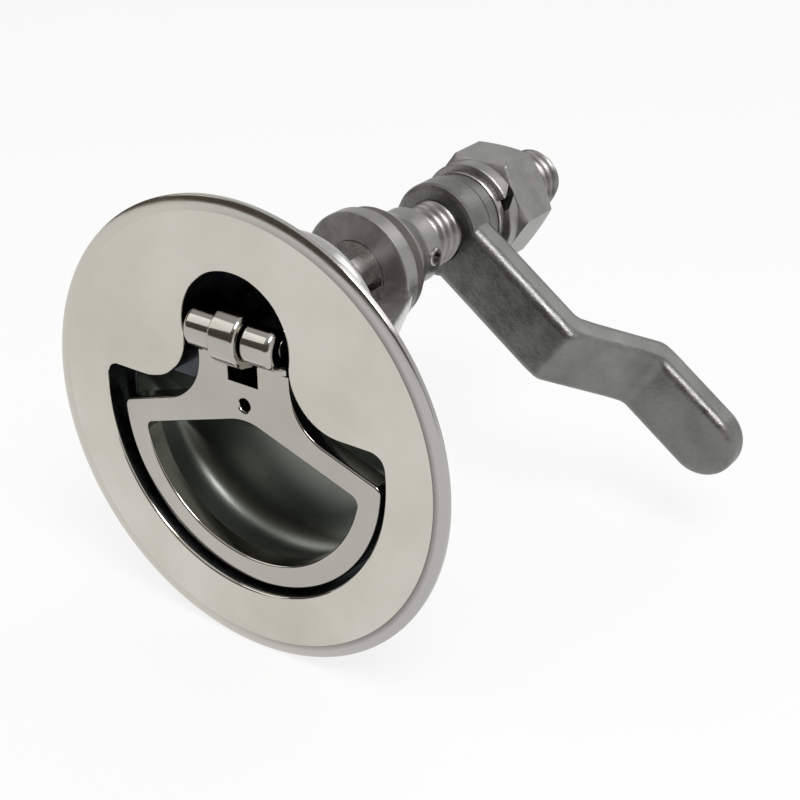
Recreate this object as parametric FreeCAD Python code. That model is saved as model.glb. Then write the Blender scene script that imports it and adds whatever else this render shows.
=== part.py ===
import FreeCAD, Part
import math
import os

V = FreeCAD.Vector

# Frame: origin at the centre of the plate's rear face, X to the right, Y to the rear, Z up

# Plate
plate_d = 76.2
plate_thick = 1.6
plate_flat_r = 35.3
plate_edge = 0.5
rim_bulge = 0.28

# Keyhole recess in the plate
recess_shoulder_z = 5.2
recess_neck_fillet = 9.0
recess_corner_r = 2.5
recess_depth = 5.3
wall = 2.2
pocket_low_z = 7.5
pocket_corner_r = 2.0

# Finger bowl below the handle
ledge_w = 1.2
bowl_depth = 14.1
bowl_corner_r = 4.0
# Share of the depth, inset of the round side, drop of the top side
bowl_steps = [(0.0, 0.0, 0.0), (0.3, 0.5, 2.6), (0.6, 1.3, 6.0), (0.82, 2.6, 8.8), (0.95, 4.4, 10.8),
              (1.0, 6.4, 12.2)]

# Pin axis
pin_z = 16.5
pin_y = 0.6
pin_r = 1.75

# Handle
handle_face_y = 0.4
handle_thick = 3.0
handle_r = 25.5
handle_c_z = -1.3
handle_neck = 9.2
handle_fillet = 9.0
handle_slope = 18.5
handle_shoulder_z = 1.9
handle_corner_r = 1.5
handle_rim = 4.0
grip_top_z = 2.35
grip_apex_r = 9.0
grip_corner_r = 1.5
hole_r = 1.1
hole_z = 4.7
face_edge = 0.35

# Ears of the handle and their cam
ear_slot_low = 8.3
ear_front_r = 4.4
ear_edge = 1.1
ear_root_r = 0.9
cam_h = 6.8
travel = 2.4
cam_low = 4.5
cam_heel = 7.5
cam_gap = 0.1

# Spindle
spindle_r = 5.555
spindle_end_y = 84.9
tongue_half = 2.6
tongue_r = 5.45
square_half = 4.7
square_y0 = 18.6
square_y1 = 28.0
end_chamfer = 0.9

# Rear of the housing
head_r = 14.4
head_c_z = 13.8
head_y = 17.2
head_edge = 2.5
eye_r = 10.7
eye_y0 = 28.5
eye_y1 = 30.5
shelf_z = 16.0

# Shaft seal
seal_d = 2.0
seal_y = 13.0

# Tapped bosses for a backing bridge
stud_x = 15.0
stud_z = -8.0
stud_boss_r = 4.2
stud_hole_r = 2.1
stud_boss_h = 4.0
stud_floor = 1.2

# Collar and thrust washer
thrust_r = 10.9
thrust_t = 2.1
collar_r = 9.4
collar_rim = 1.5
collar_wall = 1.045
collar_len = 8.7
collar_pin_r = 1.5
collar_pin_back = 2.0
collar_pin_angle = 45.0

# Cam arm
arm_y = 50.9
arm_t = 5.65
arm_w = 13.0
arm_edge = 1.3
arm_boss_r = 8.35
arm_neck_r = 7.7
arm_neck_t = 2.85
arm_bend1 = 30.0
arm_bend2 = 42.3
arm_set = 13.8
arm_len = 63.0
arm_bend_r = 2.5
arm_angle = -36.0

# Washers and nut
flat_r = 8.0
flat_t = 1.55
lock_r = 9.1
lock_t = 2.8
lock_gap = 1.6
nut_af = 18.2
nut_t = 9.5
nut_turn = -2.0

# Clearances
run = 0.06
slip = 0.02
face = 0.02
side_gap = 0.35
handle_gap = 0.6
neck_gap = 1.1
pin_short = 0.7

# Derived sizes
plate_r = plate_d / 2
front_y = -plate_thick
recess_r = handle_r - handle_c_z + handle_gap
recess_head_r = handle_neck + neck_gap
ear_slot = tongue_half + side_gap
pin_len = 2 * (handle_neck - pin_short)
collar_sleeve_r = spindle_r + collar_wall
recess_y = front_y + recess_depth
bowl_y = front_y + bowl_depth
pocket_y = pin_y + cam_h + cam_gap
handle_rear_y = handle_face_y + handle_thick
bore_r = spindle_r + run
thrust_y0 = eye_y1 + cam_gap
collar_y0 = thrust_y0 + thrust_t + face
collar_y1 = collar_y0 + collar_len
arm_rear_y = arm_y + arm_t
flat_y0 = arm_rear_y + arm_neck_t + face
lock_y0 = flat_y0 + flat_t + face
nut_y0 = lock_y0 + lock_t + face


def rad(a):
    return math.radians(a)


def cyl_y(r, y0, y1, x=0.0, z=0.0):
    return Part.makeCylinder(r, y1 - y0, V(x, y0, z), V(0, 1, 0))


def cyl_x(r, x0, x1, y, z):
    return Part.makeCylinder(r, x1 - x0, V(x0, y, z), V(1, 0, 0))


def box(x0, x1, y0, y1, z0, z1):
    return Part.makeBox(x1 - x0, y1 - y0, z1 - z0, V(x0, y0, z0))


def line(p, q):
    return Part.makeLine(p, q)


def arc(p, m, q):
    return Part.Arc(p, m, q).toShape()


def arc_about(c, p, q):
    # Arc shorter than half a turn from p to q round the centre c
    r = (p - c).Length
    d = (p - c) + (q - c)
    d.normalize()
    return arc(p, c + d * r, q)


def mirror_x(edges):
    plane = V(1, 0, 0)
    return [e.mirror(V(0, 0, 0), plane) for e in edges]


def closed_wire(edges):
    return Part.Wire(Part.__sortEdges__(edges))


def extrude_y(wire, y0, y1):
    shape = Part.Face(wire).extrude(V(0, y1 - y0, 0))
    shape.translate(V(0, y0, 0))
    return shape


def extrude_x(wire, x0, x1):
    shape = Part.Face(wire).extrude(V(x1 - x0, 0, 0))
    shape.translate(V(x0, 0, 0))
    return shape


def revolve_y(points, z=0.0):
    # Closed profile of (radius, y) points turned round a line along Y
    ps = [V(r, y, z) for r, y in points]
    wire = Part.makePolygon(ps + [ps[0]])
    return Part.Face(wire).revolve(V(0, 0, z), V(0, 1, 0), 360)


def keyhole(grow):
    # Outline of the recess, grown outwards by a wall, in the plane y = 0
    r = recess_r + grow
    hr = recess_head_r + grow
    top = recess_shoulder_z + grow
    fr = recess_neck_fillet - grow
    cr = recess_corner_r + grow
    head = V(0, 0, pin_z)
    cz = top - cr
    corner = V(math.sqrt((r - cr) ** 2 - cz ** 2), 0, cz)
    on_arc = corner * (r / (r - cr))
    on_top = V(corner.x, 0, top)
    fz = top + fr
    fil = V(math.sqrt((hr + fr) ** 2 - (fz - pin_z) ** 2), 0, fz)
    fil_low = V(fil.x, 0, top)
    fil_high = head + (fil - head) * (hr / (hr + fr))
    half = [
        arc_about(V(0, 0, 0), V(0, 0, -r), on_arc),
        arc_about(corner, on_arc, on_top),
        line(on_top, fil_low),
        arc_about(fil, fil_low, fil_high),
        arc_about(head, fil_high, V(0, 0, pin_z + hr)),
    ]
    return closed_wire(half + mirror_x(half))


def sector_corner(r, c_z, slope, level, cr):
    # Rounded corner between an arc about (0, c_z) and a line that slopes down from (0, level)
    a = rad(slope)
    n = V(math.sin(a), 0, math.cos(a))
    u = V(math.cos(a), 0, -math.sin(a))
    o = V(0, 0, c_z)
    d0 = level * math.cos(a) - cr - n.dot(o)
    t = math.sqrt((r - cr) ** 2 - d0 ** 2)
    c = o + n * d0 + u * t
    on_arc = o + (c - o) * (r / (r - cr))
    on_line = c + n * cr
    return c, on_arc, on_line


def handle_outline(top):
    a = rad(handle_slope)
    n = V(math.sin(a), 0, math.cos(a))
    fil_x = handle_neck + handle_fillet
    tangent_x = fil_x - handle_fillet * n.x
    level = handle_shoulder_z + tangent_x * math.tan(a)
    fil = V(fil_x, 0, handle_shoulder_z + handle_fillet * n.z)
    c, on_arc, on_line = sector_corner(handle_r, handle_c_z, handle_slope, level, handle_corner_r)
    tangent = fil - n * handle_fillet
    neck = V(handle_neck, 0, fil.z)
    half = [
        arc_about(V(0, 0, handle_c_z), V(0, 0, handle_c_z - handle_r), on_arc),
        arc_about(c, on_arc, on_line),
        line(on_line, tangent),
        arc_about(fil, tangent, neck),
        line(neck, V(handle_neck, 0, top)),
        line(V(handle_neck, 0, top), V(0, 0, top)),
    ]
    return closed_wire(half + mirror_x(half))


def grip_outline():
    a = rad(handle_slope)
    n = V(math.sin(a), 0, math.cos(a))
    r = handle_r - handle_rim
    c, on_arc, on_line = sector_corner(r, handle_c_z, handle_slope, grip_top_z, grip_corner_r)
    apex = V(0, 0, grip_top_z - grip_apex_r / n.z)
    tangent = apex + n * grip_apex_r
    half = [
        arc_about(V(0, 0, handle_c_z), V(0, 0, handle_c_z - r), on_arc),
        arc_about(c, on_arc, on_line),
        line(on_line, tangent),
        arc_about(apex, tangent, V(0, 0, apex.z + grip_apex_r)),
    ]
    return closed_wire(half + mirror_x(half))


def bowl_outline(r, top, cr):
    # The corner stays within the height between the flat top and the round side
    cr = min(cr, 0.45 * (r + top))
    cz = top - cr
    c = V(math.sqrt((r - cr) ** 2 - cz ** 2), 0, cz)
    on_arc = c * (r / (r - cr))
    on_top = V(c.x, 0, top)
    half = [
        arc_about(V(0, 0, 0), V(0, 0, -r), on_arc),
        arc_about(c, on_arc, on_top),
        line(on_top, V(0, 0, top)),
    ]
    return closed_wire(half + mirror_x(half))


def bowl(y0, depth, grow):
    # Loft through outlines that close in towards the floor
    wires = []
    for share, inset, drop in bowl_steps:
        w = bowl_outline(recess_r - ledge_w - inset + grow, recess_shoulder_z - ledge_w - drop + grow,
                         bowl_corner_r + grow)
        w.translate(V(0, y0 + share * depth, 0))
        wires.append(w)
    return Part.makeLoft(wires, True, False)


def soften(shape, r, wanted):
    edges = [e for e in shape.Edges if wanted(e)]
    return shape.makeFillet(r, edges) if edges else shape


def ear_profile():
    # Side view of an ear with its cam, in the plane x = 0
    o = V(0, pin_y, pin_z)
    a = travel / (math.pi / 2)
    cam = []
    steps = 14
    for i in range(steps + 1):
        t = math.pi / 2 * (1 - i / steps)
        h = cam_h - a * t
        cam.append(o + V(0, h * math.cos(t) + a * math.sin(t), h * math.sin(t) - a * math.cos(t)))
    curve = Part.BSplineCurve()
    curve.interpolate(cam)
    face_dy = handle_face_y - pin_y
    rear = handle_rear_y - pin_y
    root_y = face_dy - ear_root_r
    root = V(0, root_y, -math.sqrt((ear_front_r + ear_root_r) ** 2 - root_y ** 2))
    p_face = o + V(0, face_dy, root.z)
    p_lobe = o + root * (ear_front_r / (ear_front_r + ear_root_r))
    p_top = o + V(0, 0, ear_front_r)
    p_corner = o + V(0, cam_h, -cam_low)
    p_heel = o + V(0, rear, -cam_heel)
    p_low = o + V(0, rear, -cam_heel - 4.0)
    p_low_f = o + V(0, face_dy, -cam_heel - 4.0)
    mid = o + V(0, -ear_front_r, 0)
    return closed_wire([
        arc_about(o + root, p_face, p_lobe),
        arc(p_lobe, mid, p_top),
        line(p_top, cam[0]),
        curve.toShape(),
        line(cam[-1], p_corner),
        line(p_corner, p_heel),
        line(p_heel, p_low),
        line(p_low, p_low_f),
        line(p_low_f, p_face),
    ])


def make_handle():
    plate = extrude_y(handle_outline(pin_z), handle_face_y, handle_rear_y)
    plate = plate.cut(box(-handle_r, handle_r, handle_face_y - 1, handle_rear_y + 1, pin_z - cam_low, pin_z + 1))
    grip = extrude_y(grip_outline(), handle_face_y - 1, handle_rear_y + 1)
    plate = plate.cut(grip)
    plate = plate.cut(cyl_y(hole_r, handle_face_y - 1, handle_rear_y + 1, 0, hole_z))
    ears = extrude_x(ear_profile(), -handle_neck, handle_neck)

    def round_edges(e):
        c = e.CenterOfMass
        at_end = abs(abs(c.x) - handle_neck) < 0.01 and abs(e.BoundBox.XLength) < 0.01
        front = c.y < pin_y + 1.0 and c.z > pin_z - ear_front_r
        return at_end and front

    def heel_edges(e):
        return abs(e.CenterOfMass.y - pin_y - cam_h) < 0.01 and abs(e.CenterOfMass.z - pin_z + cam_low) < 0.01

    ears = soften(ears, 1.2, heel_edges)
    ears = soften(ears, ear_edge, round_edges)
    body = plate.fuse(ears).removeSplitter()

    def face_edges(e):
        bb = e.BoundBox
        flat = bb.YLength < 0.01 and abs(bb.YMin - handle_face_y) < 0.01
        return flat and bb.ZMax < pin_z - ear_front_r - ear_root_r

    body = soften(body, face_edge, face_edges)
    slot = box(-ear_slot, ear_slot, pin_y - 8, pin_y + 9, pin_z - ear_slot_low, pin_z + 8)
    body = body.cut(slot)
    body = body.cut(cyl_x(pin_r + slip, -handle_neck - 1, handle_neck + 1, pin_y, pin_z))
    return body


def make_housing():
    # Plate with a crowned rim
    rim = [
        line(V(0, front_y, 0), V(plate_flat_r, front_y, 0)),
        arc(V(plate_flat_r, front_y, 0),
            V((plate_flat_r + plate_r) / 2 + rim_bulge * 0.37, (front_y - plate_edge) / 2 - rim_bulge * 0.93, 0),
            V(plate_r, -plate_edge, 0)),
        line(V(plate_r, -plate_edge, 0), V(plate_r, 0, 0)),
        line(V(plate_r, 0, 0), V(0, 0, 0)),
        line(V(0, 0, 0), V(0, front_y, 0)),
    ]
    body = Part.Face(Part.Wire(rim)).revolve(V(0, 0, 0), V(0, 1, 0), 360)
    # Walls round the recess, bowl shell and head
    sleeve = extrude_y(keyhole(wall), -0.5, recess_y + wall)
    sleeve = sleeve.cut(box(-40, 40, -1, 20, pin_z - 1, 60))
    head = cyl_y(head_r, -0.5, head_y, 0, head_c_z)
    head = soften(head, head_edge, lambda e: abs(e.CenterOfMass.y - head_y) < 0.01 and e.BoundBox.YLength < 0.01)
    shell = bowl(recess_y - 1.0, bowl_y + wall - recess_y + 1.0, wall)
    # Half cone neck with the rear eye
    w0 = Part.Wire(Part.makeCircle(head_r, V(0, head_y - head_edge - 0.5, head_c_z), V(0, 1, 0)))
    w1 = Part.Wire(Part.makeCircle(eye_r, V(0, eye_y0, pin_z), V(0, 1, 0)))
    neck = Part.makeLoft([w0, w1], True, False)
    neck = neck.cut(box(-30, 30, 0, 60, shelf_z, 60))
    eye = cyl_y(eye_r, eye_y0 - 0.01, eye_y1, 0, pin_z)
    body = body.fuse([sleeve, head, shell])
    body = body.fuse([neck, eye])
    # Tapped bosses on the back of the bowl
    stud_y = bowl_y + wall + stud_boss_h
    for sx in (-1, 1):
        body = body.fuse(cyl_y(stud_boss_r, recess_y + wall, stud_y, sx * stud_x, stud_z))
    # Recess, head pocket and bowl
    body = body.cut(extrude_y(keyhole(0.0), front_y - 1, recess_y))
    pocket = cyl_y(recess_head_r, front_y - 1, pocket_y, 0, pin_z)
    low = box(-recess_head_r, recess_head_r, front_y - 1, pocket_y, pocket_low_z, pin_z)

    def upright(e):
        c = e.CenterOfMass
        return e.BoundBox.YLength > 2 and abs(c.z - pocket_low_z) < 0.01

    low = soften(low, pocket_corner_r, upright)
    body = body.cut(pocket.fuse(low))
    body = body.cut(bowl(recess_y - 0.01, bowl_y - recess_y, 0.0))
    # Spindle bore and seal groove
    body = body.cut(cyl_y(bore_r, 0, eye_y1 + 1, 0, pin_z))
    groove_r = spindle_r + run + seal_d + slip
    body = body.cut(cyl_y(groove_r, seal_y - seal_d * 0.55, seal_y + seal_d * 0.55, 0, pin_z))
    for sx in (-1, 1):
        body = body.cut(cyl_y(stud_hole_r, bowl_y + stud_floor, stud_y + 1, sx * stud_x, stud_z))
    return body


def make_spindle():
    c = end_chamfer
    rod = revolve_y([(0, pin_y - 20), (spindle_r, pin_y - 20), (spindle_r, spindle_end_y - c),
                     (spindle_r - c, spindle_end_y), (0, spindle_end_y)], pin_z)
    end_y = pocket_y + slip
    keep = cyl_x(tongue_r, -tongue_half, tongue_half, pin_y, pin_z)
    keep = keep.fuse(box(-tongue_half, tongue_half, pin_y, end_y + 1, pin_z - tongue_r, pin_z + tongue_r))
    keep = keep.fuse(box(-10, 10, end_y, 100, pin_z - 10, pin_z + 10))
    rod = rod.common(keep)
    rod = rod.cut(cyl_x(pin_r + run, -10, 10, pin_y, pin_z))
    # Squared shank in the window
    ring = cyl_y(spindle_r + 1, square_y0, square_y1, 0, pin_z)
    ring = ring.cut(box(-square_half, square_half, square_y0 - 1, square_y1 + 1,
                        pin_z - square_half, pin_z + square_half))
    rod = rod.cut(ring)
    return rod.cut(pin_hole())


def pin_frame(shape):
    shape.rotate(V(0, 0, pin_z), V(0, 1, 0), collar_pin_angle)
    return shape


def pin_hole():
    return pin_frame(cyl_x(collar_pin_r + slip, -12, 12, collar_y1 - collar_pin_back, pin_z))


def make_collar():
    body = revolve_y([(spindle_r + slip, collar_y0), (collar_r, collar_y0), (collar_r, collar_y0 + collar_rim),
                      (collar_sleeve_r, collar_y1 - 1.2), (collar_sleeve_r, collar_y1),
                      (spindle_r + slip, collar_y1)], pin_z)
    return body.cut(pin_hole())


def make_collar_pin():
    # Slotted spring pin across the collar
    half = collar_sleeve_r + 0.25
    y = collar_y1 - collar_pin_back
    tube = cyl_x(collar_pin_r, -half, half, y, pin_z)
    tube = tube.cut(cyl_x(collar_pin_r * 0.6, -half - 1, half + 1, y, pin_z))
    tube = tube.cut(box(-half - 1, half + 1, y, y + 3, pin_z - 0.3, pin_z + 0.3))
    return pin_frame(tube)


def make_arm():
    beta = math.atan2(arm_set, arm_bend2 - arm_bend1)
    shift = arm_t * math.tan(beta / 2)
    y0 = arm_y
    y1 = arm_y + arm_set
    side = Part.makePolygon([
        V(0, y0, 0), V(arm_bend1, y0, 0), V(arm_bend2, y1, 0), V(arm_len, y1, 0),
        V(arm_len, y1 + arm_t, 0), V(arm_bend2 - shift, y1 + arm_t, 0),
        V(arm_bend1 - shift, y0 + arm_t, 0), V(0, y0 + arm_t, 0), V(0, y0, 0)])
    bar = Part.Face(side).extrude(V(0, 0, arm_w))
    bar.translate(V(0, 0, -arm_w / 2))

    def bends(e):
        x = e.CenterOfMass.x
        return e.BoundBox.ZLength > arm_w - 0.1 and arm_bend1 - shift - 1 < x < arm_bend2 + 1

    bar = soften(bar, arm_bend_r, bends)
    plan = cyl_y(arm_w / 2, 0, 100, arm_len - arm_w / 2, 0)
    plan = plan.fuse(box(0, arm_len - arm_w / 2, 0, 100, -arm_w / 2, arm_w / 2))
    bar = bar.common(plan).removeSplitter()

    def outer(e):
        bb = e.BoundBox
        if bb.XMax < 0.01:
            return False
        side_edge = bb.ZLength < 0.01 and abs(abs(e.CenterOfMass.z) - arm_w / 2) < 0.01
        end_edge = bb.XMin > arm_len - arm_w / 2 - 0.01 and bb.YLength < 0.01
        return side_edge or end_edge

    bar = soften(bar, arm_edge, outer)
    hub = cyl_y(arm_boss_r, arm_y, arm_rear_y)
    rims = lambda e: e.BoundBox.YLength < 0.01 and e.BoundBox.XLength > 2
    hub = soften(hub, 0.8, rims)
    neck = cyl_y(arm_neck_r, arm_rear_y - 1, arm_rear_y + arm_neck_t)
    body = bar.fuse([hub, neck]).removeSplitter()
    body = body.cut(cyl_y(bore_r, 0, 100))
    body.rotate(V(0, 0, 0), V(0, 1, 0), -arm_angle)
    body.translate(V(0, 0, pin_z))
    return body


def washer(r, y0, t, inner):
    return cyl_y(r, y0, y0 + t, 0, pin_z).cut(cyl_y(inner, y0 - 1, y0 + t + 1, 0, pin_z))


def make_lock_washer():
    body = washer(lock_r, lock_y0, lock_t, bore_r)
    cut = box(-lock_gap / 2, lock_gap / 2, -5, 5, 0, 20)
    cut.rotate(V(0, 0, 0), V(0, 0, 1), 35)
    cut.translate(V(0, lock_y0 + lock_t / 2, 0))
    cut.rotate(V(0, 0, 0), V(0, 1, 0), 60)
    cut.translate(V(0, 0, pin_z))
    return body.cut(cut)


def make_nut():
    corner = nut_af / math.sqrt(3)
    ps = []
    for k in range(7):
        a = rad(nut_turn + 60 * k)
        ps.append(V(corner * math.cos(a), 0, pin_z + corner * math.sin(a)))
    body = extrude_y(Part.makePolygon(ps), nut_y0, nut_y0 + nut_t)
    slant = (corner - nut_af / 2 + 0.1) * math.tan(rad(30))
    flat = nut_af / 2 - 0.1
    crown = revolve_y([(0, nut_y0), (flat, nut_y0), (corner + 0.01, nut_y0 + slant),
                       (corner + 0.01, nut_y0 + nut_t - slant), (flat, nut_y0 + nut_t), (0, nut_y0 + nut_t)], pin_z)
    body = body.common(crown)
    return body.cut(cyl_y(bore_r, nut_y0 - 1, nut_y0 + nut_t + 1, 0, pin_z))


def make_seal():
    ring = Part.makeTorus(bore_r + seal_d / 2, seal_d / 2, V(0, seal_y, pin_z), V(0, 1, 0))
    return ring


parts = {
    "housing": make_housing(),
    "handle": make_handle(),
    "handle_pin": cyl_x(pin_r, -pin_len / 2, pin_len / 2, pin_y, pin_z),
    "spindle": make_spindle(),
    "shaft_seal": make_seal(),
    "thrust_washer": washer(thrust_r, thrust_y0, thrust_t, spindle_r + slip),
    "taper_collar": make_collar(),
    "collar_pin": make_collar_pin(),
    "cam_arm": make_arm(),
    "flat_washer": washer(flat_r, flat_y0, flat_t, bore_r),
    "lock_washer": make_lock_washer(),
    "lock_nut": make_nut(),
}

os.makedirs("parts", exist_ok=True)
for name, shape in parts.items():
    if shape.ShapeType == "Compound" and len(shape.Solids) == 1:
        shape = shape.Solids[0]
    print(name, shape.isValid(), len(shape.Solids), round(shape.Volume, 1))
    shape.exportStep("parts/" + name + ".step")
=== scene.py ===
import math

import bmesh
import bpy
import numpy as np
from mathutils import Matrix, Vector


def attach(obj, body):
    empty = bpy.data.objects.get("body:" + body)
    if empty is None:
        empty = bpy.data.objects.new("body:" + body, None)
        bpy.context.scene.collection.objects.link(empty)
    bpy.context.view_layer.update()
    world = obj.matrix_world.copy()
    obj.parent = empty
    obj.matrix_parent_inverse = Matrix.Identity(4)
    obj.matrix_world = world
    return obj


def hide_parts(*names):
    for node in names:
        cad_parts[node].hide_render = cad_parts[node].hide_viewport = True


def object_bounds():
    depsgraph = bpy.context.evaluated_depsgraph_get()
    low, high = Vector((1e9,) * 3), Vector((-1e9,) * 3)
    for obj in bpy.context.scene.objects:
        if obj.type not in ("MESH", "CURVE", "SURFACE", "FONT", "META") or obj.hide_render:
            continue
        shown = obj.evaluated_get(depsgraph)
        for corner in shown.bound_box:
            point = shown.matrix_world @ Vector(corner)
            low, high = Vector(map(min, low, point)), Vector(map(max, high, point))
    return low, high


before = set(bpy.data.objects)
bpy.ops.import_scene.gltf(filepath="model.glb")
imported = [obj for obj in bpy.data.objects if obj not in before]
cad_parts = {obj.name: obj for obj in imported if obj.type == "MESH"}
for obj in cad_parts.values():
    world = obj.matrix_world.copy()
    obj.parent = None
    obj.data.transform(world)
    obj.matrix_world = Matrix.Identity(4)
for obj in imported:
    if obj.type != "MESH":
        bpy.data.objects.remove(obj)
cad_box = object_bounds()

# Sizes in millimetres, in the frame of the source: X right, Y to the rear, Z up
PIN_Y, PIN_Z = 0.6, 16.5

# Plate and rim
PLATE_R, PLATE_FLAT_R, PLATE_FRONT, PLATE_EDGE = 38.1, 35.8, -1.6, -1.1
RIM_BULGE, RIM_REAR = 0.12, 0.55

# Keyhole recess, pocket for the ears, finger bowl
RECESS_R, HEAD_R, SHOULDER_Z, NECK_FILLET, RECESS_CORNER = 27.4, 10.3, 5.2, 9.0, 2.5
RECESS_Y, POCKET_Y, POCKET_LOW, BOWL_Y, WALL, LEDGE = 3.7, 7.5, 7.5, 12.5, 2.2, 1.2
BOWL_CORNER, BOWL_INSET, BOWL_LIP = 4.0, 6.4, 0.3
# Share of the bowl's depth, and how far its upper edge has come down there
BOWL_DROPS = [(0.0, 0.0), (0.3, 2.6), (0.6, 6.0), (0.82, 8.8), (0.95, 10.8), (1.0, 12.2)]

# Rear of the housing: dome over the ears, cone to the eye, bosses for the backing plate's screws
DOME_R, DOME_END, DOME_EDGE, DOME_Z = 14.4, 17.2, 2.5, 13.8
CONE_Y, CONE_R, CONE_Z, CONE_END_R = -0.4, 21.5, 12.0, 11.2
EYE_R, EYE_Y0, EYE_Y1, SHELF_Z = 10.25, 28.5, 31.8, 16.0
BOSS_X, BOSS_Z = 15, -8.0
BOSS_PROFILE = [(4.2, RECESS_Y + WALL), (4.2, 18.3), (3.9, 18.7)]
TAP_PROFILE = [(2.1, BOWL_Y + 1.2), (2.1, 18.4), (2.5, 18.8)]

# Handle
HANDLE_FACE, HANDLE_REAR, HANDLE_R, HANDLE_CZ = 0.0, 3.4, 25.5, -1.3
NECK, HANDLE_FILLET, SLOPE, SHOULDER, HANDLE_CORNER, RIM = 8.9, 9.0, math.radians(18.5), 1.9, 1.5, 4.0
GRIP_TOP, GRIP_APEX, GRIP_CORNER = 2.35, 9.0, 1.5
FRONT_EDGE, REAR_EDGE = 0.45, 0.3
EAR, EAR_SLOT, LOBE_R, LOBE_Y, LOBE_Z, ROOT_R, CAM_H = 8.4, 2.95, 3.4, -1.0, -0.1, 0.9, 6.8
EAR_INNER_EDGE, EAR_OUTER_EDGE = 0.3, 1.1
PIN_HOLE_R, SLOT_DEPTH, HOLE_Z = 1.77, 8.2, 4.7

# Spindle and what sits on it, from front to rear
TONGUE, TONGUE_R, TONGUE_Y, TONGUE_END, TONGUE_HOLE_R, ROD_Y = 2.6, 4.6, -0.4, 9.5, 1.81, 7.52
SPINDLE_R, BORE_R, SHANK_END = 5.555, 5.615, 42.5
SQUARE, SQUARE_Y0, SQUARE_Y1 = 4.7, 18.6, 28.0
THRUST_R, THRUST_Y0, THRUST_Y1 = 9.6, 31.9, 34.2
COLLAR_R, SLEEVE_R, COLLAR_Y0, COLLAR_Y1, COLLAR_PIN_Y = 9.0, 6.6, 34.22, 43.62, 41.62
COLLAR_PIN_R, COLLAR_PIN_BORE, COLLAR_PIN_HALF, COLLAR_PIN_SLIT = 1.5, 0.9, 6.85, 0.3
ARM_Y, ARM_REAR, ARM_W, ARM_END, ARM_BEND = 50.9, 56.55, 13.0, 62.9, 2.3
ARM_FOLD_0, ARM_FOLD_1, ARM_STEP, ARM_EDGE, ARM_TURN = 30, 42.3, 13.8, 1.8, 36
NUT_Y0, NUT_Y1, NUT_FLATS = 63.81, 73.31, 18.2

# Thread, in metres for its geometry nodes
THREAD = [("Start", 0.042), ("End", 0.0849), ("Pitch", 0.001814), ("Crest Radius", 0.005555),
          ("Depth", 0.00098), ("Chamfer", 0.0012), ("Centre Height", 0.0165)]


def place(name, verts, faces):
    """A mesh object from points in millimetres."""
    mesh = bpy.data.meshes.new(name)
    mesh.from_pydata([tuple(c * 0.001 for c in v) for v in verts], [], faces)
    mesh.validate()
    obj = bpy.data.objects.new(name, mesh)
    bpy.context.scene.collection.objects.link(obj)
    return obj


def loft(name, loops):
    """Closed skin over loops that all have the same number of points."""
    n = len(loops[0])
    verts = [tuple(p) for loop in loops for p in loop]
    faces = []
    for k in range(len(loops) - 1):
        for i in range(n):
            j = (i + 1) % n
            faces.append((k * n + i, k * n + j, (k + 1) * n + j, (k + 1) * n + i))
    faces.append(tuple(range(n))[::-1])
    faces.append(tuple(range((len(loops) - 1) * n, len(loops) * n)))
    obj = place(name, verts, faces)
    outward(obj)
    return obj


def outward(obj):
    """Welds double points and turns every face outwards."""
    bm = bmesh.new()
    bm.from_mesh(obj.data)
    bmesh.ops.remove_doubles(bm, verts=bm.verts, dist=1e-7)
    bmesh.ops.recalc_face_normals(bm, faces=bm.faces)
    bm.to_mesh(obj.data)
    bm.free()


def turned(name, profile, z=PIN_Z, x=0.0, steps=128):
    """A turned solid: (radius, y) points swept round a line along Y."""
    loops = []
    for r, y in profile:
        loops.append([(x + r * math.cos(2 * math.pi * i / steps), y, z + r * math.sin(2 * math.pi * i / steps))
                      for i in range(steps)])
    return loft(name, loops)


def block(name, x0, x1, y0, y1, z0, z1):
    return loft(name, [[(x0, y, z0), (x1, y, z0), (x1, y, z1), (x0, y, z1)] for y in (y0, y1)])


def baked(obj):
    """The object's mesh with its modifiers in it."""
    graph = bpy.context.evaluated_depsgraph_get()
    graph.update()
    mesh = bpy.data.meshes.new_from_object(obj.evaluated_get(graph))
    obj.modifiers.clear()
    old = obj.data
    obj.data = mesh
    mesh.name = obj.name
    bpy.data.meshes.remove(old)


def combine(obj, kind, *tools):
    for tool in tools:
        mod = obj.modifiers.new("cut", "BOOLEAN")
        mod.operation = kind
        mod.solver = "EXACT"
        mod.object = tool
        baked(obj)
        bpy.data.objects.remove(tool)
    return obj


def rounded(obj, width, segments=3, angle=35):
    mod = obj.modifiers.new("edge", "BEVEL")
    mod.width = width * 0.001
    mod.segments = segments
    mod.limit_method = "ANGLE"
    mod.angle_limit = math.radians(angle)
    baked(obj)


def shade(obj, angle=14):
    """Smooth faces with sharp edges kept, weighted so that flat faces stay flat."""
    bm = bmesh.new()
    bm.from_mesh(obj.data)
    bmesh.ops.remove_doubles(bm, verts=bm.verts, dist=2e-7)
    bmesh.ops.dissolve_degenerate(bm, edges=bm.edges, dist=1e-7)
    for f in bm.faces:
        f.smooth = True
    for e in bm.edges:
        e.smooth = len(e.link_faces) == 2 and e.calc_face_angle(0) < math.radians(angle)
    bm.to_mesh(obj.data)
    bm.free()
    mod = obj.modifiers.new("normals", "WEIGHTED_NORMAL")
    mod.keep_sharp = True
    mod.weight = 60
    baked(obj)


def arc(cx, cz, r, a0, a1, n):
    """Points on an arc from a0 to a1 degrees, without the last one."""
    return [(cx + r * math.cos(math.radians(a0 + (a1 - a0) * i / n)),
             cz + r * math.sin(math.radians(a0 + (a1 - a0) * i / n))) for i in range(n)]


def straight(p, q, n):
    """Points on a line from p to q, without the last one."""
    return [(p[0] + (q[0] - p[0]) * i / n, p[1] + (q[1] - p[1]) * i / n) for i in range(n)]


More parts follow.
